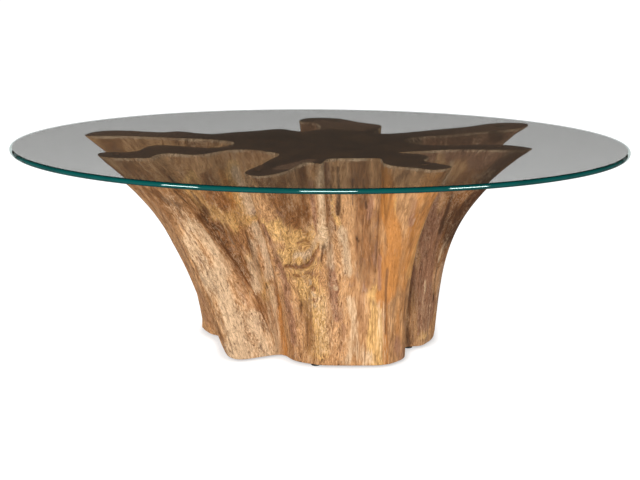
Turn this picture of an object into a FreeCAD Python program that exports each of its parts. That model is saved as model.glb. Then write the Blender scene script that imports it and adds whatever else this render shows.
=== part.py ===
import FreeCAD, Part
import math
import os

# Oval glass coffee table on a sawn root base.
# Millimetres, +Z up. The origin is on the floor under the centre of the oval,
# +X runs along the long axis and the side that faces a viewer is -Y.

# Whole table
glass_length = 1372.0
glass_width = 864.0
glass_thickness = 12.0
glass_edge_round = 4.0
table_height = 457.0

# Root base
floor_gap = 4.5
star_reach_x = 500.0
star_reach_y = 300.0
foot_reach_x = 250.0
foot_reach_y = 200.0

# Clear bumpers between wood and glass
bumper_diameter = 20.0
bumper_thickness = 2.5
bumper_chamfer = 0.5

# Levelling glides under the base
pad_diameter = 20.0
pad_height = 4.2
pad_floor = 1.4
pad_lip = 0.7
pad_chamfer = 0.8
stud_diameter = 8.0
stud_plate_diameter = 15.0
stud_plate_thickness = 1.5
stud_end_chamfer = 1.0
stud_reach_past_insert = 9.5
insert_diameter = 11.0
insert_length = 16.0
insert_flange_diameter = 16.0
insert_flange_thickness = 1.5
glide_clearance = 0.3
insert_fit = 0.1
blind_hole_slack = 3.0

# How far a cut runs past the face that it opens
cut_overrun = 1.0

# Places worked out from the sizes above
glass_bottom = table_height - glass_thickness
wood_top = glass_bottom - bumper_thickness
wood_bottom = floor_gap
wood_height = wood_top - wood_bottom

# How the base flares: each stretch of the outline leans by a straight share and
# follows a power of the height for the rest. The four figures of a station are
# its place on the sawn top and on the foot, as shares of the reaches.
OUTLINE_SHARES = (
    ("right notch", 0.05, 4.0, (
        (0.42, 0.12, 1.04, 0.21), (0.38, 0.23, 1.04, 0.26), (0.43, 0.34, 1.04, 0.31))),
    ("right rear arm", 0.16, 3.4, (
        (0.60, 0.45, 1.04, 0.37), (0.74, 0.58, 1.04, 0.43), (0.91, 0.71, 1.03, 0.50),
        (0.98, 0.86, 1.00, 0.58), (0.96, 0.97, 0.97, 0.66), (0.82, 0.96, 0.92, 0.73),
        (0.70, 0.82, 0.86, 0.78), (0.55, 0.68, 0.79, 0.82), (0.41, 0.55, 0.70, 0.85))),
    ("right bay at the rear", 0.10, 3.0, (
        (0.30, 0.48, 0.61, 0.87), (0.25, 0.52, 0.53, 0.89))),
    ("rear lobe", 0.20, 2.6, (
        (0.27, 0.68, 0.47, 0.92), (0.27, 0.83, 0.42, 0.98), (0.20, 0.91, 0.36, 1.03),
        (0.14, 0.99, 0.28, 1.07), (0.07, 1.09, 0.18, 1.10), (-0.03, 1.12, 0.05, 1.11),
        (-0.10, 1.08, -0.08, 1.09), (-0.12, 0.95, -0.18, 1.05), (-0.06, 0.90, -0.22, 1.02),
        (-0.02, 0.78, -0.25, 1.00), (-0.02, 0.62, -0.29, 0.97))),
    ("left bay at the rear", 0.10, 3.0, (
        (-0.08, 0.54, -0.34, 0.94), (-0.14, 0.57, -0.40, 0.93))),
    ("left rear arm", 0.34, 2.8, (
        (-0.20, 0.63, -0.46, 0.93), (-0.30, 0.55, -0.53, 0.93), (-0.42, 0.47, -0.61, 0.91),
        (-0.52, 0.40, -0.69, 0.88), (-0.67, 0.49, -0.77, 0.84), (-0.73, 0.45, -0.84, 0.78),
        (-0.89, 0.49, -0.91, 0.70), (-1.02, 0.48, -0.98, 0.60), (-1.08, 0.37, -1.03, 0.48),
        (-1.08, 0.26, -1.06, 0.38), (-0.96, 0.27, -1.08, 0.32), (-0.68, 0.22, -1.10, 0.28),
        (-0.54, 0.19, -1.10, 0.25))),
    ("left notch", 0.05, 4.0, (
        (-0.42, 0.13, -1.10, 0.22), (-0.38, 0.06, -1.10, 0.19), (-0.41, -0.06, -1.085, 0.17))),
    ("left arm", 0.68, 4.0, (
        (-0.48, -0.12, -1.08, 0.15), (-0.61, -0.07, -1.075, 0.13), (-0.71, -0.05, -1.06, 0.10),
        (-0.76, -0.12, -1.045, 0.07), (-0.79, -0.27, -1.02, 0.02), (-0.89, -0.31, -0.99, -0.03),
        (-0.94, -0.35, -0.94, -0.07), (-0.93, -0.45, -0.88, -0.15), (-0.86, -0.51, -0.82, -0.48),
        (-0.80, -0.52, -0.76, -0.75))),
    ("left arm at its front edge", 0.55, 2.6, (
        (-0.75, -0.51, -0.65, -0.84), (-0.70, -0.49, -0.50, -0.77))),
    ("front left bay", 0.00, 1.35, (
        (-0.67, -0.37, -0.37, -0.69), (-0.60, -0.35, -0.35, -0.68), (-0.52, -0.38, -0.335, -0.675),
        (-0.44, -0.29, -0.32, -0.67), (-0.38, -0.20, -0.31, -0.67), (-0.28, -0.19, -0.30, -0.67),
        (-0.20, -0.26, -0.29, -0.67), (-0.16, -0.33, -0.28, -0.68), (-0.19, -0.50, -0.265, -0.69),
        (-0.22, -0.68, -0.245, -0.72))),
    ("front left arm", 0.60, 2.2, (
        (-0.27, -0.92, -0.215, -0.78), (-0.23, -1.02, -0.16, -0.85))),
    ("front face", 0.30, 2.4, (
        (-0.17, -1.01, -0.09, -0.90), (-0.10, -0.87, -0.03, -0.93), (-0.06, -0.70, 0.02, -0.95),
        (-0.02, -0.59, 0.06, -0.965), (0.03, -0.63, 0.11, -0.97), (0.05, -0.53, 0.16, -0.97),
        (0.07, -0.46, 0.21, -0.97), (0.20, -0.43, 0.38, -0.96), (0.28, -0.44, 0.50, -0.95))),
    ("front right arm", 0.02, 2.85, (
        (0.29, -0.55, 0.57, -0.94), (0.34, -0.67, 0.62, -0.92), (0.45, -0.74, 0.68, -0.88),
        (0.51, -0.78, 0.74, -0.80), (0.58, -0.68, 0.79, -0.70), (0.53, -0.57, 0.80, -0.60),
        (0.47, -0.48, 0.80, -0.52), (0.49, -0.37, 0.80, -0.45), (0.45, -0.26, 0.80, -0.39),
        (0.36, -0.22, 0.81, -0.345))),
    ("right arm", 0.18, 3.4, (
        (0.43, -0.18, 0.87, -0.32), (0.56, -0.11, 0.93, -0.30), (0.67, -0.09, 0.97, -0.26),
        (0.80, -0.09, 1.01, -0.17), (0.89, -0.08, 1.04, -0.09), (0.95, -0.03, 1.06, 0.00),
        (0.86, 0.09, 1.065, 0.06), (0.72, 0.10, 1.06, 0.11), (0.60, 0.07, 1.05, 0.15),
        (0.50, 0.06, 1.045, 0.18))),
)

# Evenly spaced sections of the loft, from the foot to the sawn top
section_count = 8

# One bumper near the end of each arm, as shares of the star's reaches
BUMPER_SHARES = (
    ("left_rear", -0.86, 0.38),
    ("left", -0.86, -0.41),
    ("front_left", -0.216, -0.88),
    ("front_right", 0.47, -0.65),
    ("right", 0.80, 0.00),
    ("right_rear", 0.84, 0.80),
    ("rear", 0.06, 0.97),
)

# Levelling glides, as shares of the foot's reaches. The front and the right one
# stand just inside the edge of the foot, where they can be seen.
GLIDE_SHARES = (
    ("front", 0.02, -0.885),
    ("right", 0.83, -0.27),
    ("rear_right", 0.48, 0.72),
    ("rear_left", -0.56, 0.78),
    ("left", -0.87, 0.02),
)


def read_stations():
    stations = []
    for _name, lean, power, rows in OUTLINE_SHARES:
        for top_x, top_y, foot_x, foot_y in rows:
            top = (top_x * star_reach_x, top_y * star_reach_y)
            foot = (foot_x * foot_reach_x, foot_y * foot_reach_y)
            stations.append({"top": top, "foot": foot, "lean": lean, "power": power})
    return stations


def soften(stations, key):
    # The flare passes from one arm to the next over a station on each side
    count = len(stations)
    soft = []
    for index in range(count):
        before = stations[index - 1][key]
        after = stations[(index + 1) % count][key]
        soft.append((before + 2 * stations[index][key] + after) / 4)
    return soft


def outline_at(stations, rise):
    leans = soften(stations, "lean")
    powers = soften(stations, "power")
    points = []
    for station, lean, power in zip(stations, leans, powers):
        share = lean * rise + (1 - lean) * rise ** power
        x = station["foot"][0] + (station["top"][0] - station["foot"][0]) * share
        y = station["foot"][1] + (station["top"][1] - station["foot"][1]) * share
        points.append((x, y))
    return points


def curve_parameters(stations):
    # One spacing for every section, so that the loft's lines follow the arms
    count = len(stations)
    total = [0.0]
    for index in range(count):
        here = stations[index]
        after = stations[(index + 1) % count]
        span = 0.0
        for level in ("top", "foot"):
            dx = after[level][0] - here[level][0]
            dy = after[level][1] - here[level][1]
            span += math.hypot(dx, dy) / 2
        total.append(total[-1] + math.sqrt(span))
    return total


def section_wire(points, z, parameters):
    curve = Part.BSplineCurve()
    vectors = [FreeCAD.Vector(x, y, z) for x, y in points]
    curve.interpolate(Points=vectors, PeriodicFlag=True, Parameters=parameters)
    return Part.Wire([curve.toShape()])


def base_sections(stations):
    parameters = curve_parameters(stations)
    wires = []
    for index in range(section_count):
        rise = index / (section_count - 1)
        z = wood_bottom + wood_height * rise
        wires.append(section_wire(outline_at(stations, rise), z, parameters))
    return wires


def glide_places():
    places = []
    for name, share_x, share_y in GLIDE_SHARES:
        places.append((name, share_x * foot_reach_x, share_y * foot_reach_y))
    return places


def cylinder(diameter, bottom, top, x=0.0, y=0.0):
    base = FreeCAD.Vector(x, y, bottom)
    return Part.makeCylinder(diameter / 2, top - bottom, base)


def insert_bore(x, y):
    # Stepped hole in the wood: flange seat, insert seat, then room for the stud
    flange_top = wood_bottom + insert_flange_thickness
    insert_top = wood_bottom + insert_length
    stud_top = insert_top + stud_reach_past_insert + blind_hole_slack
    below = wood_bottom - cut_overrun
    seat = cylinder(insert_flange_diameter + 2 * insert_fit, below, flange_top, x, y)
    shank = cylinder(insert_diameter + 2 * insert_fit, below, insert_top + insert_fit, x, y)
    free = cylinder(stud_diameter + 2 * glide_clearance, below, stud_top, x, y)
    return seat.fuse([shank, free])


def make_root_base():
    body = Part.makeLoft(base_sections(read_stations()), True, False)
    bores = [insert_bore(x, y) for _name, x, y in glide_places()]
    return body.cut(bores)


def make_glass_top():
    centre = FreeCAD.Vector(0, 0, glass_bottom)
    rim = Part.Ellipse(centre, glass_length / 2, glass_width / 2)
    face = Part.Face(Part.Wire([rim.toShape()]))
    slab = face.extrude(FreeCAD.Vector(0, 0, glass_thickness))
    rims = [edge for edge in slab.Edges if isinstance(edge.Curve, Part.Ellipse)]
    return slab.makeFillet(glass_edge_round, rims)


def make_bumper(x, y):
    disc = cylinder(bumper_diameter, wood_top, glass_bottom, x, y)
    rims = [edge for edge in disc.Edges if isinstance(edge.Curve, Part.Circle)]
    return disc.makeChamfer(bumper_chamfer, rims)


def make_pad(x, y):
    # Snap-on cup: the stud's plate sits in a groove under a thin lip
    body = cylinder(pad_diameter, 0.0, pad_height, x, y)
    rims = [edge for edge in body.Edges if isinstance(edge.Curve, Part.Circle)]
    body = body.makeChamfer(pad_chamfer, rims)
    groove_diameter = stud_plate_diameter + 2 * glide_clearance
    groove = cylinder(groove_diameter, pad_floor, pad_height - pad_lip, x, y)
    mouth = cylinder(stud_diameter + 2 * glide_clearance, pad_floor, pad_height + cut_overrun, x, y)
    return body.cut([groove, mouth])


def make_stud(x, y):
    plate_bottom = pad_floor + glide_clearance
    plate_top = plate_bottom + stud_plate_thickness
    stud_top = wood_bottom + insert_length + stud_reach_past_insert
    plate = cylinder(stud_plate_diameter, plate_bottom, plate_top, x, y)
    shank = cylinder(stud_diameter, plate_bottom, stud_top - stud_end_chamfer, x, y)
    point = Part.makeCone(
        stud_diameter / 2,
        stud_diameter / 2 - stud_end_chamfer,
        stud_end_chamfer,
        FreeCAD.Vector(x, y, stud_top - stud_end_chamfer),
    )
    return plate.fuse([shank, point]).removeSplitter()


def make_insert(x, y):
    flange = cylinder(
        insert_flange_diameter, wood_bottom, wood_bottom + insert_flange_thickness, x, y
    )
    shank = cylinder(insert_diameter, wood_bottom, wood_bottom + insert_length, x, y)
    bore_diameter = stud_diameter + 2 * glide_clearance
    bore = cylinder(bore_diameter, wood_bottom, wood_bottom + insert_length, x, y)
    return flange.fuse(shank).cut(bore).removeSplitter()


def make_all():
    nodes = {"root_base": make_root_base(), "glass_top": make_glass_top()}
    for name, share_x, share_y in BUMPER_SHARES:
        nodes["bumper_" + name] = make_bumper(share_x * star_reach_x, share_y * star_reach_y)
    for name, x, y in glide_places():
        nodes["glide_pad_" + name] = make_pad(x, y)
        nodes["glide_stud_" + name] = make_stud(x, y)
        nodes["glide_insert_" + name] = make_insert(x, y)
    return nodes


def write_parts():
    os.makedirs("parts", exist_ok=True)
    for name, shape in make_all().items():
        shape.exportStep("parts/" + name + ".step")
        size = shape.BoundBox
        print(name, "solids", len(shape.Solids), "valid", shape.isValid(),
              "volume", round(shape.Volume), "z", round(size.ZMin, 2), round(size.ZMax, 2))


write_parts()
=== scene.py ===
import math

import bpy
import numpy as np
from bpy.props import FloatProperty, FloatVectorProperty, PointerProperty
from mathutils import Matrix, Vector, noise
from mathutils.geometry import tessellate_polygon


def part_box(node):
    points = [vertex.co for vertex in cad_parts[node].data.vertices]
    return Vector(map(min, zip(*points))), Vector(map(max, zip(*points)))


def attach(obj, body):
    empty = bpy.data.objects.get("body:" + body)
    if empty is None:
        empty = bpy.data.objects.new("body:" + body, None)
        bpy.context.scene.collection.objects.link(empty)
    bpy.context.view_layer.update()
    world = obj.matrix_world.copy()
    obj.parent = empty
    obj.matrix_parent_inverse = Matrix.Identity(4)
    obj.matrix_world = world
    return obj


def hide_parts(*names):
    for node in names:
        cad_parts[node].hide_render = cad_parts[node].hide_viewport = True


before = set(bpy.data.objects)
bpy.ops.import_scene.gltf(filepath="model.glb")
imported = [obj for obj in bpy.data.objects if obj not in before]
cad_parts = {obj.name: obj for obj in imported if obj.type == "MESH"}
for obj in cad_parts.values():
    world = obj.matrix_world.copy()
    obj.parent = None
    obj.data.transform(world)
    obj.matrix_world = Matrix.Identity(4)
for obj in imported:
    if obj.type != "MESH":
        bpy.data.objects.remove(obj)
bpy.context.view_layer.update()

# Dresses the oval glass coffee table: the root base with its grain and relief, the
# polished glass, the clear bumpers, the glides, and a plain pale stage.
# Metres, +Z up, the origin on the floor under the glass, the viewed side is -Y.

bl_info = {
    "name": "Root Base Coffee Table",
    "version": (1, 0, 0),
    "blender": (4, 5, 0),
    "location": "View3D > Sidebar > Root Table",
    "description": "Root base, oval glass, bumpers, glides and a plain stage for the coffee table",
    "category": "Object",
}

WOOD_LOW, WOOD_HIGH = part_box("root_base")
GLASS_LOW, GLASS_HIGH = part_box("glass_top")
WOOD_HEIGHT = WOOD_HIGH.z - WOOD_LOW.z

GLIDES = ("front", "right", "rear_right", "rear_left", "left")
BUMPERS = ("left_rear", "left", "front_left", "front_right", "right", "right_rear", "rear")

# The outline of the base, as in its solid, in hundredths. Each stretch has a straight lean
# and a power of the height. Its stations give the place on the sawn top and on the foot,
# as shares of the reaches.
STAR_REACH = (0.500, 0.300)
FOOT_REACH = (0.250, 0.200)
OUTLINE_HUNDREDTHS = (
    (5, 400, (42, 12, 104, 21), (38, 23, 104, 26), (43, 34, 104, 31)),
    (16, 340, (60, 45, 104, 37), (74, 58, 104, 43), (91, 71, 103, 50), (98, 86, 100, 58),
     (96, 97, 97, 66), (82, 96, 92, 73), (70, 82, 86, 78), (55, 68, 79, 82), (41, 55, 70, 85)),
    (10, 300, (30, 48, 61, 87), (25, 52, 53, 89)),
    (20, 260, (27, 68, 47, 92), (27, 83, 42, 98), (20, 91, 36, 103), (14, 99, 28, 107),
     (7, 109, 18, 110), (-3, 112, 5, 111), (-10, 108, -8, 109), (-12, 95, -18, 105),
     (-6, 90, -22, 102), (-2, 78, -25, 100), (-2, 62, -29, 97)),
    (10, 300, (-8, 54, -34, 94), (-14, 57, -40, 93)),
    (34, 280, (-20, 63, -46, 93), (-30, 55, -53, 93), (-42, 47, -61, 91), (-52, 40, -69, 88),
     (-67, 49, -77, 84), (-73, 45, -84, 78), (-89, 49, -91, 70), (-102, 48, -98, 60),
     (-108, 37, -103, 48), (-108, 26, -106, 38), (-96, 27, -108, 32), (-68, 22, -110, 28),
     (-54, 19, -110, 25)),
    (5, 400, (-42, 13, -110, 22), (-38, 6, -110, 19), (-41, -6, -108.5, 17)),
    (68, 400, (-48, -12, -108, 15), (-61, -7, -107.5, 13), (-71, -5, -106, 10),
     (-76, -12, -104.5, 7), (-79, -27, -102, 2), (-89, -31, -99, -3), (-94, -35, -94, -7),
     (-93, -45, -88, -15), (-86, -51, -82, -48), (-80, -52, -76, -75)),
    (55, 260, (-75, -51, -65, -84), (-70, -49, -50, -77)),
    (0, 135, (-67, -37, -37, -69), (-60, -35, -35, -68), (-52, -38, -33.5, -67.5),
     (-44, -29, -32, -67), (-38, -20, -31, -67), (-28, -19, -30, -67), (-20, -26, -29, -67),
     (-16, -33, -28, -68), (-19, -50, -26.5, -69), (-22, -68, -24.5, -72)),
    (60, 220, (-27, -92, -21.5, -78), (-23, -102, -16, -85)),
    (30, 240, (-17, -101, -9, -90), (-10, -87, -3, -93), (-6, -70, 2, -95), (-2, -59, 6, -96.5),
     (3, -63, 11, -97), (5, -53, 16, -97), (7, -46, 21, -97), (20, -43, 38, -96),
     (28, -44, 50, -95)),
    (2, 285, (29, -55, 57, -94), (34, -67, 62, -92), (45, -74, 68, -88), (51, -78, 74, -80),
     (58, -68, 79, -70), (53, -57, 80, -60), (47, -48, 80, -52), (49, -37, 80, -45),
     (45, -26, 80, -39), (36, -22, 81, -34.5)),
    (18, 340, (43, -18, 87, -32), (56, -11, 93, -30), (67, -9, 97, -26), (80, -9, 101, -17),
     (89, -8, 104, -9), (95, -3, 106, 0), (86, 9, 106.5, 6), (72, 10, 106, 11), (60, 7, 105, 15),
     (50, 6, 104.5, 18)),
)

# Long marks in the wood, by tone. A row has the half width in mm, the strength in percent,
# how far it stands out or lies in, in mm, and then its places. A place is a station, counted
# round the outline, and a rise in percent, from foot 0 to sawn top 100. Stations 49 to 54 are
# the left arm's ridge, then come its valley to 57, the front left bay and lobe to 70, the rib
# in front to 74, the smooth face and the orange band to 85, and the right arm to 91.
STREAKS = {
    "pale": (
        (20, 35, 0, 53, 82, 53.2, 74, 53.4, 68),
        (30, 75, 1, 53.5, 68, 53.7, 62, 53.9, 55, 53.9, 46),
        (30, 65, 1, 52.8, 62, 53, 50, 53.1, 38),
        (42, 100, 1, 53.3, 44, 53.3, 28, 53.2, 14, 53.2, 2),
        (26, 85, 0, 54.3, 20, 54.4, 10, 54.5, 2), (22, 85, 0, 58.6, 56, 57.9, 46, 57.2, 36),
        (19, 88, 2, 58.9, 90, 59.1, 82, 59.3, 73),
        (20, 90, 1, 59.3, 64, 59.6, 56, 59.7, 48, 59.4, 40),
        (16, 60, 0, 59.2, 34, 59, 22, 58, 8, 57, 2), (30, 35, 0, 70.2, 34, 70.6, 22, 70.8, 10),
        (15, 80, 0, 67.6, 59.5, 68.5, 58, 69.3, 60, 70.1, 63.5, 70.7, 68),
        (6, 90, 3, 68.7, 44.5, 68.9, 43), (5, 90, 3, 69.1, 37.5, 69.3, 36.2),
        (5, 80, 3, 69.2, 32, 69.4, 30.8), (22, 66, 4, 71.2, 98, 71.2, 84, 71, 72, 71.2, 62),
        (19, 80, 1, 73.3, 67, 73.5, 58, 73.6, 48), (20, 72, 0, 72.2, 70, 72.2, 60, 72.2, 52),
        (6, 80, 2, 72.8, 40.5, 73, 39.5), (12, 65, 0, 73.7, 34, 73.8, 22, 73.9, 10, 73.5, 2),
        (24, 55, 0, 73.8, 12, 74.2, 6, 74.8, 3), (14, 36, 0, 76.3, 32, 76.4, 16, 76.6, 4),
        (30, 30, 0, 88, 20, 88.4, 10, 88.4, 2), (10, 55, 0, 87.6, 94, 87.4, 84),
        (12, 35, 0, 90.2, 42, 90.6, 30, 90.4, 16), (3, 100, 1, 89, 80, 89.6, 74.5),
        (4, 95, 1, 89.6, 56, 89.2, 50, 89.2, 44), (3, 80, 1, 87.6, 35, 87.6, 29),
        (34, 60, 1, 6.5, 90, 7, 55, 7.4, 10), (34, 60, 1, 18.6, 95, 18.4, 50, 18.6, 5),
        (34, 60, 1, 34.2, 95, 33.8, 60, 33, 5)),
    "gold": (
        (34, 90, 0, 55.8, 86, 56.4, 74, 57.4, 68, 58.2, 74, 58.3, 86),
        (26, 100, 0, 58.7, 92, 58.9, 82, 59.2, 70), (20, 90, 0, 57.8, 50, 58.2, 40, 58.6, 30),
        (30, 100, 1, 66.4, 74, 67.2, 68, 68.6, 66, 69.8, 68),
        (34, 95, 1, 66.8, 60, 67.8, 54, 68.8, 53),
        (34, 75, 0, 67.6, 48, 69, 36, 69.4, 20, 69.6, 6),
        (22, 100, 3, 67.2, 60, 68.5, 58, 69.3, 60, 70.1, 63.5, 70.7, 68),
        (5, 90, 1, 72.9, 84, 73, 76, 73.3, 70),
        (26, 95, 0, 75.4, 38, 75.6, 24, 75.8, 10, 75.8, 2),
        (9, 85, 1, 77.2, 86, 77.4, 72, 77.5, 58), (20, 100, 0, 76.4, 34, 76.4, 20, 76.6, 4),
        (20, 90, 1, 81, 93, 80.4, 76, 80, 60, 79.7, 45), (14, 80, 0, 86.8, 12, 87.2, 6, 88.2, 5),
        (30, 70, 0, 15.6, 90, 15.4, 60, 15.8, 30), (34, 70, 0, 28.4, 90, 28.8, 60, 29, 30),
        (30, 60, 0, 44.6, 90, 45, 60, 45.4, 30)),
    "orange": (
        (16, 55, 0, 57.9, 90, 58, 82, 57.9, 76),
        (14, 100, 0, 60.8, 30, 61.2, 20, 62, 10, 63.4, 2),
        (36, 95, 1, 76.3, 98, 76.8, 84, 77.2, 72, 77.6, 58),
        (32, 95, 1, 77.6, 60, 77.2, 46, 77, 36), (9, 95, 0, 77.1, 38, 77, 28, 77.2, 14, 77.3, 2),
        (44, 60, 0, 79.4, 96, 79.4, 70, 79.2, 44), (22, 35, 0, 78.4, 36, 78.8, 20, 79.2, 12),
        (44, 55, 0, 89.2, 96, 88.8, 80, 88.7, 60), (10, 80, 1, 88.8, 90, 89, 80, 89.2, 70),
        (8, 70, 1, 90.3, 86, 90.2, 74, 90.2, 66), (26, 75, 0, 10, 95, 10.4, 60, 10, 10),
        (20, 80, 0, 23.4, 90, 23.2, 50, 23.4, 10), (26, 75, 0, 30.6, 95, 30.4, 60, 30.6, 5)),
    "brown": (
        (50, 55, 0, 51, 97, 52.2, 84, 52.8, 74), (14, 60, -2, 51, 60, 51.2, 48),
        (12, 60, 0, 52, 18, 52.1, 10, 52.1, 2), (30, 80, -2, 54.5, 72, 54.9, 62, 55.1, 54),
        (24, 85, -3, 55.4, 66, 55.6, 56, 55.8, 46, 55.6, 38),
        (20, 55, 0, 55.6, 32, 56.4, 24, 56, 14), (30, 42, 0, 55.8, 84, 56.4, 76, 57.4, 74),
        (24, 100, -1, 57, 90, 57.1, 82, 57.4, 77), (24, 50, -1, 56.4, 64, 56.8, 58, 56.6, 52),
        (5, 80, -2, 59.9, 84, 59.8, 74, 59.6, 66), (10, 60, 0, 60.4, 44, 60.4, 34, 60.2, 26),
        (34, 68, 0, 66.6, 98, 67.4, 88, 68.4, 78), (28, 70, 0, 69.2, 98, 69.2, 86, 69.3, 77),
        (7, 90, -2, 66.6, 53, 67.8, 52.2, 68.8, 53, 69.7, 56, 70.5, 61),
        (6, 70, -1, 67.9, 64.5, 68.5, 65.5, 69.2, 64),
        (6, 60, -1, 67, 48, 67.8, 47, 68.6, 49, 69.3, 47), (6, 80, -1, 69.2, 40.5, 69.4, 39.2),
        (6, 80, -1, 69.1, 34.5, 69.4, 33.5), (26, 45, 0, 67.6, 30, 68.2, 16, 68.6, 3),
        (34, 80, 0, 73.9, 98, 74, 84, 74.3, 72), (40, 60, 0, 74.3, 72, 74.5, 55, 74.4, 44),
        (4, 80, -1, 77.1, 50, 77, 38, 77.1, 30, 77.3, 16),
        (22, 20, 0, 78.2, 80, 78.4, 62, 78.6, 50),
        (56, 80, 0, 89.2, 94, 89, 80, 88.9, 62, 89.2, 48),
        (50, 100, 0, 90.2, 100, 90, 84, 89.8, 60), (14, 70, 0, 88.4, 66, 88.2, 54, 88.6, 44),
        (40, 70, 0, 4, 90, 4.6, 60, 5, 30), (34, 80, 0, 20.2, 95, 20.4, 70, 20, 50),
        (40, 80, 0, 36.6, 95, 36, 70, 35.4, 50)),
    # The grey marks are partly weathered wood and partly painted shade: on the left arm's shaded
    # side, on the right lobe and at the inner end of the bay under the glass.
    "grey": (
        (18, 40, 0, 54.2, 38, 54.4, 28, 54.4, 14),
        (34, 45, 0, 49.6, 50, 50.2, 35, 49.6, 20, 48.5, 8),
        (13, 60, -2, 65.6, 74, 65.9, 62, 66, 50, 66.1, 40),
        (16, 60, -1, 66.2, 42, 66.2, 32, 66.3, 20, 66.4, 10),
        (10, 90, -1, 70, 90, 70.1, 80, 70.3, 69),
        (12, 70, -2, 72.5, 98, 72.5, 84, 72.6, 76, 72.8, 68),
        (15, 100, -1, 72.2, 50, 72.4, 42, 72.9, 34, 73, 24), (12, 50, 0, 73.4, 20, 73.2, 8),
        (10, 70, 0, 74.6, 84, 74.5, 74), (8, 85, 0, 75.8, 56, 75.8, 48, 75.9, 40),
        (12, 25, 0, 74.2, 42, 74.3, 28, 74.4, 18), (12, 60, 0, 78.2, 86, 78.4, 74),
        (26, 55, 0, 78.8, 10, 79, 6, 79.4, 2),
        (40, 100, 0, 86.4, 98, 86.7, 80, 87, 60, 87.4, 40),
        (50, 100, 0, 87.4, 40, 88, 30, 88, 14), (50, 100, 0, 87.4, 100, 88.4, 98, 89, 100),
        (36, 45, 0, 89.4, 46, 89.8, 30, 90.6, 20),
        (80, 100, 0, 1, 100, 3, 97, 4.4, 100, 5.6, 96),
        (80, 100, 0, 20.6, 100, 22.4, 94, 24, 92), (40, 70, 0, 21.5, 60, 21.2, 30, 21.4, 5),
        (40, 65, 0, 39, 95, 38, 60, 37, 10)),
    # The dark marks are partly dark fibre and partly painted shade: in the creases that lie in,
    # along the shaded sides of the right arm and at the inner ends of the bays under the glass.
    "dark": (
        (10, 55, -2, 52, 86, 53, 80, 53.7, 79), (6, 40, -2, 51.9, 52, 52.3, 42, 52.7, 32),
        (13, 62, -2, 54.4, 90, 54.8, 80, 55.2, 72), (4, 70, -1, 53.9, 86, 54.2, 80, 54.5, 76),
        (4, 70, -1, 55.3, 84, 55.5, 78, 55.6, 72), (7, 55, -2, 55.1, 58, 55.6, 50, 55.8, 42),
        (5, 90, -1, 54.7, 73, 54.9, 69), (5, 90, -1, 55.3, 68, 55.4, 64.5),
        (5, 85, -1, 55, 62, 55.3, 58.5), (4, 85, -1, 56.3, 61, 56.5, 57),
        (4, 80, -1, 56, 52, 56.3, 48), (4, 65, -1, 57.2, 56, 57.4, 53),
        (4, 55, -1, 57.5, 48, 57.7, 44), (4, 75, -1, 58.9, 37, 59, 34),
        (6, 50, -1, 58.2, 64, 58.3, 58, 58, 50), (7, 60, -1, 58.5, 48, 58.6, 42),
        (6, 45, -1, 65.7, 70, 65.9, 62, 66, 56), (6, 50, -1, 70.1, 74, 70.3, 67),
        (5, 70, -1, 71, 62, 70.8, 58, 70.6, 54), (6, 85, -1, 73.3, 96, 73.3, 84, 73.2, 76),
        (3, 80, -1, 72.9, 88, 72.9, 82), (4, 90, -1, 73.1, 70, 73.1, 68),
        (4, 100, -1, 73.75, 90, 73.75, 80), (5, 80, -1, 74.1, 90, 74.3, 79),
        (3, 80, -1, 73.9, 64.5, 74, 62.5), (3, 80, -1, 75.6, 60, 75.7, 57),
        (22, 55, 0, 83, 98, 83, 90, 83.4, 84), (12, 60, -3, 84.6, 90, 85, 50, 85.4, 2),
        (16, 45, -1, 85.8, 46, 86, 24, 86, 4), (34, 30, 0, 88.7, 92, 88.8, 80, 88.7, 60),
        (40, 85, 0, 90, 100, 89.9, 80, 89.8, 66, 90.2, 56),
        (16, 50, 0, 91, 56, 91.3, 46, 91.4, 36), (6, 80, -1, 88.2, 80, 88.4, 70, 88.4, 60),
        (4, 80, -1, 89.3, 40, 89.5, 30, 89.5, 22), (60, 50, 0, 1, 100, 3, 97, 4.6, 97),
        (36, 100, 0, 0.4, 100, 1.4, 100, 2, 97), (24, 80, 0, 4.4, 99, 4.8, 96),
        (14, 70, -4, 13.2, 100, 13, 60, 12.8, 5), (50, 70, 0, 12.6, 100, 13.6, 90),
        (60, 40, 0, 21, 98, 22.4, 94, 24, 92), (14, 70, -4, 25.6, 100, 25.8, 60, 26, 5),
        (20, 60, -2, 41, 95, 41.2, 50, 41.4, 10)),
}
# How many stations away from its middle a mark can still be
MARK_SPAN = 9

# Knots: station, rise, radius, and how far the eye swells out of the face
KNOTS = (
    (68.6, 0.560, 0.028, 0.0030),
    (72.8, 0.410, 0.008, 0.0015),
    (71.0, 0.400, 0.006, 0.0008),
    (87.6, 0.300, 0.007, 0.0008),
    (20.0, 0.550, 0.018, 0.0030),
    (8.2, 0.400, 0.013, 0.0020),
    (31.0, 0.500, 0.016, 0.0025),
    (46.4, 0.550, 0.012, 0.0015),
)

# Faces where the fibres run straight and even: first station, last station, how even
EVEN_FACES = (
    (73.6, 85.0, 1.0),
    (85.0, 93.0, 0.3),
    (14.0, 19.0, 0.8),
    (32.0, 38.0, 0.7),
)

# Worn patches of the sawn top: place, turn, reach, breadth, how strong
WORN_PATCHES = (
    (-0.036, -0.196, 0.93, 0.070, 0.020, 0.90),
    (0.040, 0.245, 0.00, 0.105, 0.075, 0.60),
)

# Noise that shapes the wood: across the fibres, along them, and its shift
KNOT_WOBBLE = (55, 55, 8.5)
RAGGED_EDGES = (75, 14, 5.5)
SWELLS = (16, 3.2, 0.0)
BUNDLES = (48, 4.2, 11.3)
NARROW_RIDGES = (110, 8.5, 27.9)
CHECK_LINES = (70, 3.0, 41.7)
CHECK_PATCHES = (9, 5.0, 63.1)

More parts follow.
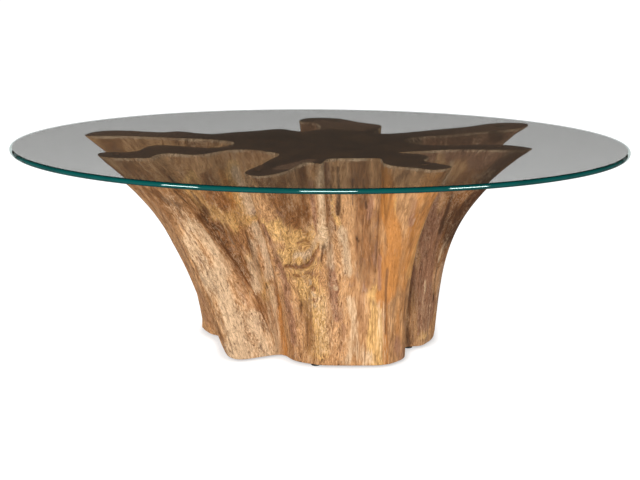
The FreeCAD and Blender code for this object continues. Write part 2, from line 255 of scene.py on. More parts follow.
# Noise that colours the wood: across the fibres, along them, detail, shift, twist
BROAD_TONES = (12.0, 4.5, 3.0, 3.0, 0.6)
PATCHES = (40.0, 13.0, 4.0, 17.0, 0.6)
CURLED_LINES, EVEN_LINES = (125.0, 32.0, 4.0, 29.0, 1.6), (120.0, 21.0, 4.0, 29.0, 0.7)
CURLED_FIBRES, EVEN_FIBRES = (290.0, 80.0, 3.0, 37.0, 1.6), (290.0, 48.0, 3.0, 37.0, 0.7)
FLECKS = (170.0, 60.0, 4.0, 53.0, 1.2)
STAINS = (55.0, 20.0, 4.0, 71.0, 0.6)
CURLS = (95.0, 46.0, 2.0, 83.0, 2.6)
FIBRE_DARK, FIBRE_LIGHT = (0.45, 0.37, 0.29), (1.37, 1.365, 1.35)

# Knots are taller than wide. They lead the fibres aside, and show rings, within some radii.
KNOT_ACROSS, KNOT_ALONG, KNOT_REACH, KNOT_DEPTH, KNOT_RINGS = 1.25, 0.75, 6, 2, 10
# The relief fades to a share of itself close to the sole and to the sawn top
RIM_BAND, RIM_RELIEF = 0.02, 0.35
# How far down the sawn edge is painted pale, for sanded wear and a painted highlight on the
# rounded rim, and over what height that fades
WORN_HIGHLIGHT_DEPTH, WORN_HIGHLIGHT_FADE = 0.007, 0.003

COLUMN_COUNT = 960
# Rises at which the columns are spread evenly, and how much each counts
COLUMN_WEIGHTS = ((0.0, 1.2), (0.5, 1.0), (1.0, 0.55))
COLUMN_SAMPLES = 40
ROW_COUNT = 92
# Above 1, the rows lie closer towards the sawn top
ROW_CROWDING = 1.15
RIM_STEPS = 4
BORE_SEGMENTS = 32
STUD_SEGMENTS = 32
BUMPER_SEGMENTS = 64
GLASS_SEGMENTS = 720
ROUND_STEPS = 8
THREAD_STEPS = 8

# The stepped hole for an insert, and the stud's plain parts
INSERT_FIT, INSERT_FLANGE, INSERT_SHANK = 0.0001, 0.0015, 0.0055
STUD_BORE, STUD_SLACK = 0.0043, 0.003
STUD_RADIUS, STUD_PLATE, STUD_NECK, STUD_POINT, STUD_BEVEL = 0.004, 0.0015, 0.0042, 0.001, 0.0002
BUMPER_RIM = 0.0006
GLASS_MARGIN = 0.03

CLEAR_EDGE = (0.75, 0.80, 0.79)
CLEAR_RUBBER = (0.80, 0.82, 0.80)
WORN_NYLON = (0.05, 0.048, 0.045)
STEEL_TONES = (0.56, 0.56, 0.57), (0.40, 0.41, 0.43)
ZINC_TONES = (0.52, 0.50, 0.42), (0.36, 0.34, 0.28)
FLOOR_TONE = (0.40, 0.40, 0.40)
WHITE = (1.0, 1.0, 1.0)
NO_STRETCH = (1.0, 1.0, 1.0)

KEY_PLACE, KEY_TARGET, KEY_SIZE = (-0.7, -3.3, 2.6), (0.0, 0.0, 0.25), (2.4, 2.4)
# Panels that the glass edge mirrors: name, place, width
EDGE_LAMPS = (
    ("left", (-1.951, -2.75, 0.425), 0.60),
    ("middle", (0.14, -3.25, 0.425), 0.78),
    ("right", (2.137, -2.625, 0.425), 0.66),
)
EDGE_LAMP_HEIGHT = 0.75
EDGE_LAMP_TARGET = (0.0, -0.40, 0.45)
EDGE_LAMP_TONE = (0.80, 1.0, 0.97)
SENSOR_WIDTH = 36.0


class RootBaseSettings(bpy.types.PropertyGroup):
    rim_round: FloatProperty(
        name="Sawn rim", description="Radius worn onto the sawn top's edge",
        default=0.0018, min=0.0005, max=0.01, unit="LENGTH")
    foot_round: FloatProperty(
        name="Foot rim", description="Radius worn onto the foot's edge",
        default=0.0025, min=0.0005, max=0.01, unit="LENGTH")
    swell_depth: FloatProperty(
        name="Swells", description="Height of the broad swells that run with the grain",
        default=0.0048, min=0.0, max=0.01, unit="LENGTH")
    fibre_depth: FloatProperty(
        name="Fibre ridges", description="Height of the ridges between bundles of fibre",
        default=0.0016, min=0.0, max=0.005, unit="LENGTH")
    check_depth: FloatProperty(
        name="Drying checks", description="Depth of the fine cracks that run with the grain",
        default=0.0022, min=0.0, max=0.006, unit="LENGTH")
    middle_tone: FloatVectorProperty(
        name="Middle wood", description="The usual colour of the cleaned root",
        subtype="COLOR", default=(0.60, 0.318, 0.138))
    brown_tone: FloatVectorProperty(
        name="Brown wood", description="The darker patches of the root",
        subtype="COLOR", default=(0.30, 0.125, 0.040))
    pale_tone: FloatVectorProperty(
        name="Pale wood", description="The ridges where the sapwood is left",
        subtype="COLOR", default=(0.70, 0.475, 0.285))
    orange_tone: FloatVectorProperty(
        name="Orange wood", description="The warm streaks of heartwood",
        subtype="COLOR", default=(0.565, 0.230, 0.057))
    gold_tone: FloatVectorProperty(
        name="Golden wood", description="The yellow patches round knots",
        subtype="COLOR", default=(0.77, 0.450, 0.165))
    # Dark fibre colour, also painted as shade into furrows, creases and checks
    dark_fibre_and_shade_tone: FloatVectorProperty(
        name="Furrows", description="The colour at the bottom of furrows and checks",
        subtype="COLOR", default=(0.084, 0.033, 0.013))
    # Weathered colour, also used for the painted shade of the grey marks
    grey_tone: FloatVectorProperty(
        name="Weathered wood", description="The greyed faces of the root",
        subtype="COLOR", default=(0.36, 0.172, 0.091))
    purple_tone: FloatVectorProperty(
        name="Stained wood", description="The faint purple grey stains that follow the grain",
        subtype="COLOR", default=(0.27, 0.165, 0.130))
    sawn_tone: FloatVectorProperty(
        name="Sawn face", description="The dark stained end grain on top",
        subtype="COLOR", default=(0.078, 0.0240, 0.0090))


class GlassSettings(bpy.types.PropertyGroup):
    edge_round: FloatProperty(
        name="Edge round", description="Radius of the polished edge",
        default=0.0055, min=0.001, max=0.006, unit="LENGTH")
    tint: FloatVectorProperty(
        name="Tint", description="What the glass lets through from face to face",
        subtype="COLOR", default=(0.66, 0.67, 0.665))
    shade: FloatVectorProperty(
        name="Shade", description="What each face lets through of the light that reaches the base",
        subtype="COLOR", default=(0.84, 0.855, 0.86))
    edge_tone: FloatVectorProperty(
        name="Edge colour", description="The deep green seen along the edge",
        subtype="COLOR", default=(0.0005, 0.068, 0.062))
    sheen: FloatProperty(
        name="Surface shine", description="How strongly the flat faces mirror the room",
        default=0.5, min=0.0, max=1.0, subtype="FACTOR")


class FittingSettings(bpy.types.PropertyGroup):
    bumper_bulge: FloatProperty(
        name="Bumper bulge", description="How far a bumper's side is pressed out by the glass",
        default=0.0004, min=0.0, max=0.001, unit="LENGTH")
    thread_pitch: FloatProperty(
        name="Thread pitch", description="Rise of the stud's thread in one turn",
        default=0.00125, min=0.0005, max=0.003, unit="LENGTH")
    thread_depth: FloatProperty(
        name="Thread depth", description="Depth of the stud's thread",
        default=0.00065, min=0.0, max=0.001, unit="LENGTH")
    nylon_tone: FloatVectorProperty(
        name="Nylon", description="Colour of the glide pads",
        subtype="COLOR", default=(0.012, 0.012, 0.013))


class StageSettings(bpy.types.PropertyGroup):
    floor_size: FloatProperty(
        name="Floor size", description="Side of the pale floor",
        default=60.0, min=4.0, max=100.0, unit="LENGTH")
    room_light: FloatProperty(
        name="Room light", description="Strength of the even light from all round",
        default=0.58, min=0.0, max=5.0)
    mirrored_room: FloatProperty(
        name="Mirrored room", description="How bright the room looks where a surface mirrors it",
        default=0.055, min=0.0, max=2.0)
    mirrored_tone: FloatVectorProperty(
        name="Mirrored colour", description="The colour of the room where a surface mirrors it",
        subtype="COLOR", default=(1.0, 0.90, 0.72))
    backdrop: FloatProperty(
        name="Backdrop", description="How bright the empty room looks behind the table",
        default=1.25, min=0.0, max=5.0)
    floor_glow: FloatProperty(
        name="Floor glow", description="Light added to the seen floor, less close to the foot",
        default=0.85, min=0.0, max=2.0)
    contact_reach: FloatProperty(
        name="Contact shadow", description="How far the soft shadow reaches from the foot",
        default=0.032, min=0.005, max=0.5, unit="LENGTH")
    floor_shade: FloatProperty(
        name="Floor bounce", description="Share of the light that the floor sends back up",
        default=0.62, min=0.0, max=1.0, subtype="FACTOR")
    up_light: FloatProperty(
        name="Up light", description="Even light that the floor sends up, also under the base",
        default=0.22, min=0.0, max=2.0)
    key_light: FloatProperty(
        name="Key light", description="Power of the large soft lamp at the front left",
        default=147.0, min=0.0, max=2000.0, unit="POWER")
    edge_light: FloatProperty(
        name="Edge lamps", description="Radiance of the panels that only the glass edge mirrors",
        default=44.0, min=0.0, max=500.0)
    camera_distance: FloatProperty(
        name="Camera distance", description="From the middle of the table, along the floor",
        default=3.0, min=1.0, max=10.0, unit="LENGTH")
    camera_height: FloatProperty(
        name="Camera height", description="Above the floor",
        default=1.07488, min=0.1, max=3.0, unit="LENGTH")
    camera_turn: FloatProperty(
        name="Camera place", description="Turn round the table, from its front towards +X",
        default=math.radians(3.1919), subtype="ANGLE")
    camera_pan: FloatProperty(
        name="Camera pan", description="Aim past the middle of the table, towards +X",
        default=math.radians(0.0922), subtype="ANGLE")
    camera_dip: FloatProperty(
        name="Camera dip", description="How far the camera looks down",
        default=math.radians(15.660), subtype="ANGLE")
    lens: FloatProperty(
        name="Lens", description="Focal length", default=77.25, min=10.0, max=300.0, unit="CAMERA")


# Shapes

def smooth_step(values):
    inside = np.clip(values, 0.0, 1.0)
    return inside * inside * (3.0 - 2.0 * inside)


def noise_over(places, across, along, shift):
    """Noise at each point of a sheet of places, drawn out along their third axis."""
    scaled = (places * (across, across, along)).reshape(-1, 3).tolist()
    values = [noise.noise((x + shift, y - shift, z + shift)) for x, y, z in scaled]
    return np.array(values).reshape(places.shape[:2])


def closed_spline(knots, values, places):
    """A cubic through values, one for each knot, that joins up with itself."""
    count = len(values)
    step = np.diff(knots)
    before = np.roll(step, 1)
    change = (np.roll(values, -1, 0) - values) / step[:, None]
    left = np.zeros((count, count))
    index = np.arange(count)
    left[index, index] = 2 * (before + step)
    left[index, (index + 1) % count] += step
    left[index, (index - 1) % count] += before
    bend = np.linalg.solve(left, 6 * (change - np.roll(change, 1, 0)))
    k = np.clip(np.searchsorted(knots, places, "right") - 1, 0, count - 1)
    k1 = (k + 1) % count
    h = step[k][:, None]
    a = (knots[k + 1] - places)[:, None] / h
    b = 1 - a
    curve = a * values[k] + b * values[k1]
    return curve + ((a ** 3 - a) * bend[k] + (b ** 3 - b) * bend[k1]) * h * h / 6


class Outline:
    """The base's outline at any rise, at columns that follow the arms."""

    def __init__(self):
        rows = [(*station, lean, power)
                for lean, power, *stretch in OUTLINE_HUNDREDTHS for station in stretch]
        table = np.array(rows) / 100
        flare = table[:, 4:6]
        self.tops, self.feet = table[:, 0:2] * STAR_REACH, table[:, 2:4] * FOOT_REACH
        self.flare = (np.roll(flare, 1, 0) + 2 * flare + np.roll(flare, -1, 0)) / 4
        top_run = np.linalg.norm(np.roll(self.tops, -1, 0) - self.tops, axis=1)
        foot_run = np.linalg.norm(np.roll(self.feet, -1, 0) - self.feet, axis=1)
        self.knots = np.concatenate([[0.0], np.cumsum(np.sqrt((top_run + foot_run) * 500))])
        self.count = len(self.tops)

    def at(self, rise, places):
        lean, power = self.flare.T
        share = (lean * rise + (1 - lean) * rise ** power)[:, None]
        return closed_spline(self.knots, self.feet + (self.tops - self.feet) * share, places)

    def columns(self, count):
        dense = np.linspace(0, self.knots[-1], COLUMN_SAMPLES * self.count, endpoint=False)
        run = 0.0
        for rise, weight in COLUMN_WEIGHTS:
            ring = self.at(rise, dense)
            run = run + weight * np.linalg.norm(np.roll(ring, -1, 0) - ring, axis=1)
        total = np.concatenate([[0.0], np.cumsum(run)])
        even = np.arange(count) * total[-1] / count
        return np.interp(even, total, np.append(dense, self.knots[-1]))

    def station(self, places):
        return np.interp(places, self.knots, np.arange(self.count + 1))

    def spot(self, station, rise):
        """The point of the plain form at a station and a rise."""
        place = np.interp(station, np.arange(self.count + 1), self.knots)
        return np.array([*self.at(rise, np.array([place]))[0], WOOD_LOW.z + WOOD_HEIGHT * rise])


def quarter_turn(steps):
    """Sine and cosine at even steps from 0 to a quarter turn."""
    turns = [math.pi / 2 * step / steps for step in range(steps + 1)]
    return [(math.sin(turn), math.cos(turn)) for turn in turns]


def side_rows(settings):
    """Height and inset of each ring of points, from the sole to the sawn face."""
    low, high = WOOD_LOW.z, WOOD_HIGH.z
    foot, rim = settings.foot_round, settings.rim_round
    bends = quarter_turn(RIM_STEPS)
    rows = [(low + foot * (1 - cosine), foot * (1 - sine)) for sine, cosine in bends[:-1]]
    for step in range(ROW_COUNT + 1):
        share = 1 - (1 - step / ROW_COUNT) ** ROW_CROWDING
        rows.append((low + foot + (high - rim - low - foot) * share, 0.0))
    rows += [(high - rim + rim * sine, rim * (1 - cosine)) for sine, cosine in bends[1:]]
    return rows


def side_points(outline, places, rows):
    rings = []
    for z, inset in rows:
        ring = outline.at((z - WOOD_LOW.z) / WOOD_HEIGHT, places)
        run = np.roll(ring, -1, 0) - np.roll(ring, 1, 0)
        out = np.stack([run[:, 1], -run[:, 0]], 1) / np.linalg.norm(run, axis=1, keepdims=True)
        rings.append(np.column_stack([ring - out * inset, np.full(len(ring), z)]))
    return np.array(rings)


def side_normals(points):
    along = np.roll(points, -1, 1) - np.roll(points, 1, 1)
    normals = np.cross(along, np.gradient(points, axis=0))
    return normals / np.maximum(np.linalg.norm(normals, axis=2, keepdims=True), 1e-9)


def grain_coordinates(points):
    """A turn round the base, its radius, the length up the fibres, and how they spread."""
    span = np.linalg.norm(np.roll(points, -1, 1) - points, axis=2)
    middle = span[len(span) // 2]
    turn = np.concatenate([[0.0], np.cumsum(middle)[:-1]]) / middle.sum() * 2 * math.pi
    rise = np.cumsum(np.linalg.norm(np.diff(points, axis=0), axis=2), 0)
    length = np.concatenate([np.zeros((1, points.shape[1])), rise])
    turn = np.broadcast_to(turn, length.shape).copy()
    return turn, middle.sum() / (2 * math.pi), length, span / middle


def mark_mask(points, stations, outline, path, half_width, ragged):
    """1 on the path, falling raggedly to 0 at the half width, in metres over the surface."""
    ends = [outline.spot(station, rise / 100) for station, rise in path]
    middle = np.mean([station for station, _rise in path])
    half_turn = outline.count / 2
    near = np.abs((stations - middle + half_turn) % outline.count - half_turn) < MARK_SPAN
    distance = np.full(points.shape[:2], 1.0)
    part = points[:, near]
    best = np.full(part.shape[:2], 1.0)
    for start, end in zip(ends, ends[1:]):
        way = end - start
        share = np.clip(((part - start) @ way) / (way @ way), 0, 1)
        best = np.minimum(best, np.linalg.norm(part - start - share[..., None] * way, axis=2))
    distance[:, near] = best
    return smooth_step(1.15 - distance / half_width + 0.55 * ragged)


def bend_round_knots(outline, points, normals, turn, radius, ragged):
    """Leads the fibres round each knot, and gives the knots' rings and swelling."""
    rings, swell = np.zeros(turn.shape), np.zeros(turn.shape)
    for station, rise, size, lift in KNOTS:
        offset = points - outline.spot(station, rise)
        gap = np.linalg.norm(offset, axis=2)
        row, column = np.unravel_index(np.argmin(gap), gap.shape)
        out = normals[row, column]
        up = points[min(row + 1, len(points) - 1), column] - points[row - 1, column]
        up = up / np.linalg.norm(up)
        across, along = offset @ np.cross(up, out), offset @ up
        reach = np.hypot(across * KNOT_ACROSS, along * KNOT_ALONG) * (1 + 0.45 * ragged)
        close = (gap < size * KNOT_REACH) & (np.abs(offset @ out) < size * KNOT_DEPTH)
        passed = across * (1 - (size / np.maximum(reach, 1e-6)) ** 2)
        led = np.where(reach > size, passed, reach - size)
        fade = smooth_step(2.2 - gap / (size * 2.6))
        turn += np.where(close, (led - across) * fade, 0.0) / radius
        ring = smooth_step(1.3 - reach / size) * (0.5 + 0.5 * np.cos(reach / size * KNOT_RINGS))
        rings += np.where(close, ring, 0.0)
        collar = np.exp(-((reach / size - 1.5) * 2.2) ** 2)
        eye = np.exp(-(reach / size) ** 2) - 0.6 * collar
        swell += np.where(close, lift * eye, 0.0)
    return rings, swell


def surface_relief(settings, grain):
    depth = settings.swell_depth * noise_over(grain, *SWELLS)
    depth += settings.fibre_depth * (0.55 - np.abs(noise_over(grain, *BUNDLES)) * 2.0) * 0.8
    depth += settings.fibre_depth * 0.45 * noise_over(grain, *NARROW_RIDGES)
    sharp = np.clip(1 - np.abs(noise_over(grain, *CHECK_LINES)) * 9, 0, 1) ** 1.5
    checks = sharp * smooth_step(noise_over(grain, *CHECK_PATCHES) * 2.2 + 0.25)
    return depth - settings.check_depth * checks, checks


def flat_cap(loops, points, face_up):
    """Triangles that fill the first loop of point numbers, less the other loops."""
    outline = [[Vector((*points[i][:2], 0.0)) for i in loop] for loop in loops]
    numbers = [i for loop in loops for i in loop]
    faces = []
    for corners in tessellate_polygon(outline):
        a, b, c = (numbers[corner] for corner in corners)
        if len({a, b, c}) < 3:
            continue
        pa, pb, pc = points[a], points[b], points[c]
        area = (pb[0] - pa[0]) * (pc[1] - pa[1]) - (pb[1] - pa[1]) * (pc[0] - pa[0])
        faces.append((a, b, c) if (area > 0) == face_up else (a, c, b))
    return faces


def ring_quads(first, second, count):
    return [(first + i, first + (i + 1) % count, second + (i + 1) % count, second + i)
            for i in range(count)]


def stack_rings(levels, segments, place):
    """Points and faces of a closed form. place gives each level's point at a turn."""
    turns = [2 * math.pi * i / segments for i in range(segments)]
    points = [place(level, turn) for level in levels for turn in turns]
    last = (len(levels) - 1) * segments
    faces = []
    for first in range(0, last, segments):
        faces += ring_quads(first, first + segments, segments)
    return points, faces + [tuple(range(segments))[::-1], tuple(range(last, last + segments))]


def plan_middle(low, high):
    return (low.x + high.x) / 2, (low.y + high.y) / 2


def round_place(x, y):
    return lambda level, turn: (x + level[0] * math.cos(turn), y + level[0] * math.sin(turn),
                                level[1])


def insert_bore(points, faces, name):
    """The stepped hole for one insert. Gives the loop where it opens in the sole."""
    low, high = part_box("glide_insert_" + name)
    _stud_low, stud_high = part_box("glide_stud_" + name)
    x, y = plan_middle(low, high)
    flange, shank = (high.x - low.x) / 2 + INSERT_FIT, INSERT_SHANK + INSERT_FIT
    step, top = low.z + INSERT_FLANGE + INSERT_FIT, high.z + INSERT_FIT
    levels = ((flange, WOOD_LOW.z), (flange, step), (shank, step), (shank, top),
              (STUD_BORE, top), (STUD_BORE, stud_high.z + STUD_SLACK))
    start = len(points)
    bore_points, bore_faces = stack_rings(levels, BORE_SEGMENTS, round_place(x, y))
    del bore_faces[-2]
    points += bore_points
    faces += [tuple(start + i for i in face[::-1]) for face in bore_faces]
    return list(range(start, start + BORE_SEGMENTS))


def new_mesh_object(name, points, faces, smooth=True):
    mesh = bpy.data.meshes.new(name)
    mesh.from_pydata(points, [], faces)
    mesh.validate()
    mesh.polygons.foreach_set("use_smooth", [smooth] * len(mesh.polygons))
    mesh.update()
    made = bpy.data.objects.new(name, mesh)
    bpy.context.scene.collection.objects.link(made)
    return made


def store_values(mesh, name, values):
    """Keeps a number or a vector for each of the side's points, and zeros for the rest."""
    values = values.reshape(-1, *values.shape[2:])
    kept = np.zeros((len(mesh.vertices), *values.shape[1:]), np.float32)
    kept[:len(values)] = values
    vector = values.ndim > 1
    attribute = mesh.attributes.new(name, "FLOAT_VECTOR" if vector else "FLOAT", "POINT")
    attribute.data.foreach_set("vector" if vector else "value", kept.ravel())


def wood_mesh(points, row_count, column_count):
    """The closed base: side, sawn top, sole and insert bores."""
    faces = []
    for first in range(0, (row_count - 1) * column_count, column_count):
        faces += ring_quads(first, first + column_count, column_count)
    side = len(faces)
    faces += flat_cap([list(range(len(points) - column_count, len(points)))], points, True)
    top = len(faces)
    bore_faces = []
    loops = [insert_bore(points, bore_faces, name) for name in GLIDES]
    faces += flat_cap([list(range(column_count)), *loops], points, False)

    made = new_mesh_object("root_base_wood", points, faces + bore_faces)
    polygons = made.data.polygons
    number = np.arange(len(polygons))
    polygons.foreach_set("material_index", (number >= side).astype(int) + (number >= top))
    polygons.foreach_set("use_smooth", number < side)
    return made


def build_root_base(settings):
    outline = Outline()
    places = outline.columns(COLUMN_COUNT)
    stations = outline.station(places)
    points = side_points(outline, places, side_rows(settings))
    normals = side_normals(points)
    turn, radius, length, spread = grain_coordinates(points)
    wobble = noise_over(points, *KNOT_WOBBLE)
    rings, swell = bend_round_knots(outline, points, normals, turn, radius, wobble)
    grain = np.stack([radius * np.cos(turn), radius * np.sin(turn), length], 2)

    tones = {}
    pushed = np.zeros(turn.shape)
    ragged = noise_over(grain, *RAGGED_EDGES)
    for tone, marks in STREAKS.items():
        tones[tone] = np.zeros(turn.shape)
        for half_width, strength, push, *path in marks:
            path = list(zip(path[::2], path[1::2]))
            mask = mark_mask(points, stations, outline, path, half_width / 1000, ragged)
            tones[tone] = np.maximum(tones[tone], mask * (strength / 100))
            pushed += mask * (push / 1000)
    z = points[..., 2]
    # The pale sawn rim: sanded wear, and a painted highlight where the rim rounds over
    worn = smooth_step((z - WOOD_HIGH.z + WORN_HIGHLIGHT_DEPTH) / WORN_HIGHLIGHT_FADE) * (0.62 + 0.6 * ragged)
    tones["pale"] = np.maximum(tones["pale"], np.clip(worn, 0, 1))

    even = np.zeros(len(stations))
    for first, last, amount in EVEN_FACES:
        inside = smooth_step(stations - first + 0.5) * smooth_step(last - stations + 0.5)
        even = np.maximum(even, amount * inside)

    depth, checks = surface_relief(settings, grain)
    depth = depth + pushed + swell
    rim_fade = smooth_step(np.minimum(z - WOOD_LOW.z, WOOD_HIGH.z - z) / RIM_BAND)
    way = normals.copy()
    way[..., 2] *= rim_fade
    points = points + way * (depth * (RIM_RELIEF + (1 - RIM_RELIEF) * rim_fade))[..., None]

    made = wood_mesh([tuple(p) for p in points.reshape(-1, 3)], *turn.shape)
    layers = {"grain": grain, **tones, "checks": checks, "knot_rings": rings, "spread": spread,
              "even": np.broadcast_to(even, turn.shape)}
    for name, values in layers.items():
        store_values(made.data, name, values)
    return made


def build_glass(settings):
    low, high = GLASS_LOW, GLASS_HIGH
    x, y = plan_middle(low, high)
    half_x, half_y, edge = (high.x - low.x) / 2, (high.y - low.y) / 2, settings.edge_round
    bends = quarter_turn(ROUND_STEPS)
    levels = [(GLASS_MARGIN, low.z)]
    levels += [(edge * (1 - sine), low.z + edge * (1 - cosine)) for sine, cosine in bends]
    levels += [(edge * (1 - cosine), high.z - edge * (1 - sine)) for sine, cosine in bends]
    levels.append((GLASS_MARGIN, high.z))

    def place(level, turn):
        """A point of the oval, moved in at right angles to it."""
        nx, ny = math.cos(turn) / half_x, math.sin(turn) / half_y
        inset = level[0] / math.hypot(nx, ny)
        return (x + half_x * math.cos(turn) - inset * nx,
                y + half_y * math.sin(turn) - inset * ny, level[1])

    points, faces = stack_rings(levels, GLASS_SEGMENTS, place)
    made = new_mesh_object("oval_glass", points, faces)
    edge_faces = np.zeros(len(faces), bool)
    edge_faces[GLASS_SEGMENTS:(len(levels) - 2) * GLASS_SEGMENTS] = True
    made.data.polygons.foreach_set("use_smooth", edge_faces)
    made.data.polygons.foreach_set("material_index", edge_faces.astype(int))
    return made


def build_bumper(name, settings):
    low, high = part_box("bumper_" + name)
    x, y = plan_middle(low, high)
    radius, rim = (high.x - low.x) / 2 - settings.bumper_bulge, BUMPER_RIM
    levels = [(radius - 2 * rim, low.z), (radius - rim * 0.4, low.z + rim * 0.25)]
    for step in range(ROUND_STEPS + 1):
        share = step / ROUND_STEPS
        z = low.z + rim + (high.z - low.z - 2 * rim) * share
        levels.append((radius + settings.bumper_bulge * math.sin(math.pi * share), z))
    levels += [(radius - rim * 0.4, high.z - rim * 0.25), (radius - 2 * rim, high.z)]
    return new_mesh_object("bumper_" + name + "_clear",
                           *stack_rings(levels, BUMPER_SEGMENTS, round_place(x, y)))


def build_stud(name, settings):
    """The glide's stud: a plate held in the pad, a neck, and a cut thread."""
    low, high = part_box("glide_stud_" + name)
    x, y = plan_middle(low, high)
    plate, core = (high.x - low.x) / 2, STUD_RADIUS - settings.thread_depth
    plate_top, neck_top = low.z + STUD_PLATE, low.z + STUD_NECK
    levels = [(plate - STUD_BEVEL, low.z, 0), (plate, low.z + STUD_BEVEL, 0),
              (plate, plate_top - STUD_BEVEL, 0), (plate - STUD_BEVEL, plate_top, 0),
              (core, plate_top, 0), (core, neck_top, 0)]
    run = high.z - STUD_POINT - neck_top
    rows = int(run / settings.thread_pitch * THREAD_STEPS)
    levels += [(STUD_RADIUS, neck_top + run * row / rows, min(1.0, row / THREAD_STEPS))
               for row in range(1, rows + 1)]
    levels += [(core, high.z - STUD_POINT * 0.7, 0), (STUD_RADIUS - STUD_POINT, high.z, 0)]

    def place(level, turn):
        radius, z, thread = level
        if thread:
            wave = ((z - neck_top) / settings.thread_pitch - turn / (2 * math.pi)) % 1
            cut = smooth_step(1 - abs(wave * 2 - 1))
            radius -= settings.thread_depth * (1 - thread + thread * cut)
        return x + radius * math.cos(turn), y + radius * math.sin(turn), z

    return new_mesh_object("glide_stud_" + name + "_thread",
                           *stack_rings(levels, STUD_SEGMENTS, place))


# Materials

class Wiring:
    """Adds and joins nodes in one node tree. A value is a number, a colour or a socket."""

    def __init__(self, tree):
        self.tree = tree

    def put(self, node, values):
        for name, value in values.items():
            if isinstance(value, bpy.types.NodeSocket):
                self.tree.links.new(value, node.inputs[name])
            else:
                node.inputs[name].default_value = value

    def add(self, kind, values=None, **settings):
        node = self.tree.nodes.new("ShaderNode" + kind)
        for name, value in settings.items():
            setattr(node, name, value)
        self.put(node, values or {})
        return node

    def maths(self, operation, *values):
        return self.add("Math", dict(enumerate(values)), operation=operation).outputs[0]

    def times(self, first, second):
        return self.maths("MULTIPLY", first, second)

    def minus(self, first, second):
        return self.maths("SUBTRACT", first, second)

    def plus(self, total, *values):
        for value in values:
            total = self.maths("ADD", total, value)
        return total

    def vectors(self, operation, *values, output=0):
        node = self.add("VectorMath", dict(enumerate(values)), operation=operation)
        return node.outputs[output]

    def between(self, factor, first, second):
        """A number on the way from the first to the second."""
        return self.add("Mix", {0: factor, 2: first, 3: second}, data_type="FLOAT").outputs[0]

    def blend(self, factor, first, second, how="MIX"):
        """A colour on the way from the first to the second."""
        first, second = (value if isinstance(value, bpy.types.NodeSocket) else (*value[:3], 1.0)
                         for value in (first, second))
        return self.add("Mix", {0: factor, 6: first, 7: second}, data_type="RGBA",
                        blend_type=how, clamp_factor=True).outputs[2]

    def ramp(self, value, low, high, kind="SMOOTHSTEP"):
        return self.add("MapRange", {"Value": value, "From Min": low, "From Max": high},
                        interpolation_type=kind, clamp=True).outputs["Result"]

    def bump(self, height, strength, distance):
        values = {"Height": height, "Strength": strength, "Distance": distance}
        return self.add("Bump", values).outputs[0]

    def mottle(self, scale, detail, low=0.35, high=0.70, stretch=NO_STRETCH):
        """Cloudy noise and a mask cut out of it, from the group that the finishes share."""
        node = self.add("Group", {"Stretch": stretch, "Scale": scale, "Detail": detail,
                                  "Low": low, "High": high}, node_tree=mottle_group())
        return node.outputs["Value"], node.outputs["Mask"]

    def over(self, factor, first, second):
        """The second shader over the first, where the factor is 1."""
        return self.add("MixShader", {0: factor, 1: first.outputs[0], 2: second.outputs[0]})

    def show(self, shader):
        self.put(self.tree.nodes["Material Output"], {"Surface": shader.outputs[0]})


def new_group(name, inputs, outputs):
    """A shader node group with named sockets. inputs are name, kind and default."""
    tree = bpy.data.node_groups.new(name, "ShaderNodeTree")
    for socket, kind, value in inputs:
        made = tree.interface.new_socket(name=socket, in_out="INPUT",
                                         socket_type="NodeSocket" + kind)
        made.default_value = value
    for socket in outputs:
        tree.interface.new_socket(name=socket, in_out="OUTPUT", socket_type="NodeSocketFloat")
    given = tree.nodes.new("NodeGroupInput").outputs
    return Wiring(tree), given, tree.nodes.new("NodeGroupOutput")


def mottle_group():
    """Cloudy noise over the place in space, made once and shared by the finishes."""
    if "Mottle" in bpy.data.node_groups:
        return bpy.data.node_groups["Mottle"]
    wires, given, out = new_group(
        "Mottle", (("Stretch", "Vector", NO_STRETCH), ("Scale", "Float", 10.0),
                   ("Detail", "Float", 3.0), ("Low", "Float", 0.35), ("High", "Float", 0.7)),
        ("Value", "Mask"))
    place = wires.add("NewGeometry").outputs["Position"]
    value = wires.add("TexNoise", {"Vector": wires.vectors("MULTIPLY", place, given["Stretch"]),
                                   "Scale": given["Scale"], "Detail": given["Detail"]}).outputs[0]
    wires.put(out, {"Value": value, "Mask": wires.ramp(value, given["Low"], given["High"])})
    return wires.tree


def fibre_noise_group():
    """Noise drawn out along the fibres, finer where the arms spread them."""
    wires, given, out = new_group(
        "Fibre Noise",
        (("Grain", "Vector", (0.0, 0.0, 0.0)), ("Spread", "Float", 1.0),
         ("Across", "Float", 100.0), ("Along", "Float", 10.0), ("Detail", "Float", 3.0),
         ("Shift", "Float", 0.0), ("Twist", "Float", 0.6)),
        ("Value",))
    results = []
    for scale in (1.0, 2.3):
        across = wires.times(given["Across"], scale)
        size = wires.add("CombineXYZ", {0: across, 1: across, 2: given["Along"]}).outputs[0]
        place = wires.vectors("MULTIPLY", given["Grain"], size)
        moved = wires.vectors("ADD", place, given["Shift"])
        results.append(wires.add("TexNoise", {
            "Vector": moved, "Scale": 1.0, "Detail": given["Detail"], "Roughness": 0.6,
            "Distortion": given["Twist"]}).outputs[0])
    wide = wires.ramp(given["Spread"], 1.2, 2.6)
    wires.put(out, {"Value": wires.between(wide, *results)})
    return wires.tree


def new_material(name):
    material = bpy.data.materials.new(name)
    material.use_nodes = True
    tree = material.node_tree
    return material, Wiring(tree), tree.nodes["Principled BSDF"]


